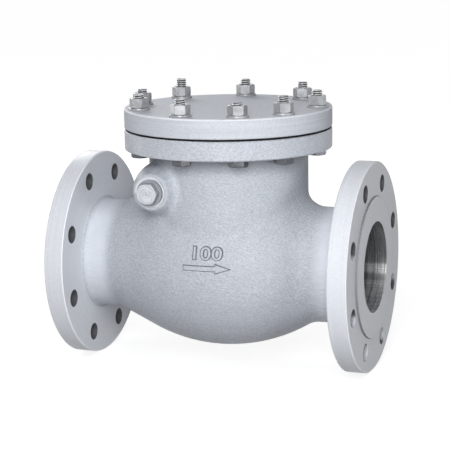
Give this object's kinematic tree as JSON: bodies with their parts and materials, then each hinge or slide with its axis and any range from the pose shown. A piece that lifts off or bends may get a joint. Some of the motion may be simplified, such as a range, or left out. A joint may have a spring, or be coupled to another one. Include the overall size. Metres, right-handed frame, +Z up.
{
  "type": "swing check valve",
  "caption": "Flanged cast steel swing check valve: bulbous body with bolted blank cover, side hinge plugs, and an inner disc that swings open with the flow on an arm and pin.",
  "frame": {"origin": "middle of the inlet flange's raised face, on the pipe axis", "axes": "+X along the pipe with the flow, from inlet to outlet; +Z up towards the bolted cover; Y along the hinge pin, -Y being the side with the flow arrow"},
  "size_m": [0.35, 0.2346, 0.3142],
  "materials": {
    "cast_steel": "silver paint over fine cast texture",
    "cover_steel": "silver paint over turned steel",
    "machined_steel": "turned steel",
    "plug_steel": "turned steel, satin",
    "fastener_steel": "plain grey steel",
    "gasket_black": "matte"
  },
  "bodies": {
    "casing": {"valve_body": "cast_steel", "seat_ring": "machined_steel", "cover": "cover_steel", "cover_gasket": "gasket_black", "cover_studs": "fastener_steel", "cover_washers": "fastener_steel", "cover_nuts_upper": "fastener_steel", "cover_nuts_lower": "fastener_steel", "hinge_pin": "machined_steel", "hinge_plug_front": "plug_steel", "hinge_plug_rear": "plug_steel", "plug_gasket_front": "gasket_black", "plug_gasket_rear": "gasket_black"},
    "arm": {"swing_arm": "cast_steel"},
    "flap": {"disc": "machined_steel", "disc_washer": "fastener_steel", "disc_nut": "fastener_steel", "disc_split_pin": "fastener_steel"}
  },
  "joints": [
    {"name": "arm_swing", "type": "hinge", "parent": "casing", "child": "arm", "pos_m": [0.123, 0, 0.09], "axis": [0, -1, 0], "range_deg": [0, 65]},
    {"name": "disc_spin", "type": "hinge", "parent": "arm", "child": "flap", "pos_m": [0.138, 0, 0], "axis": [1, 0, 0], "continuous": true}
  ]
}
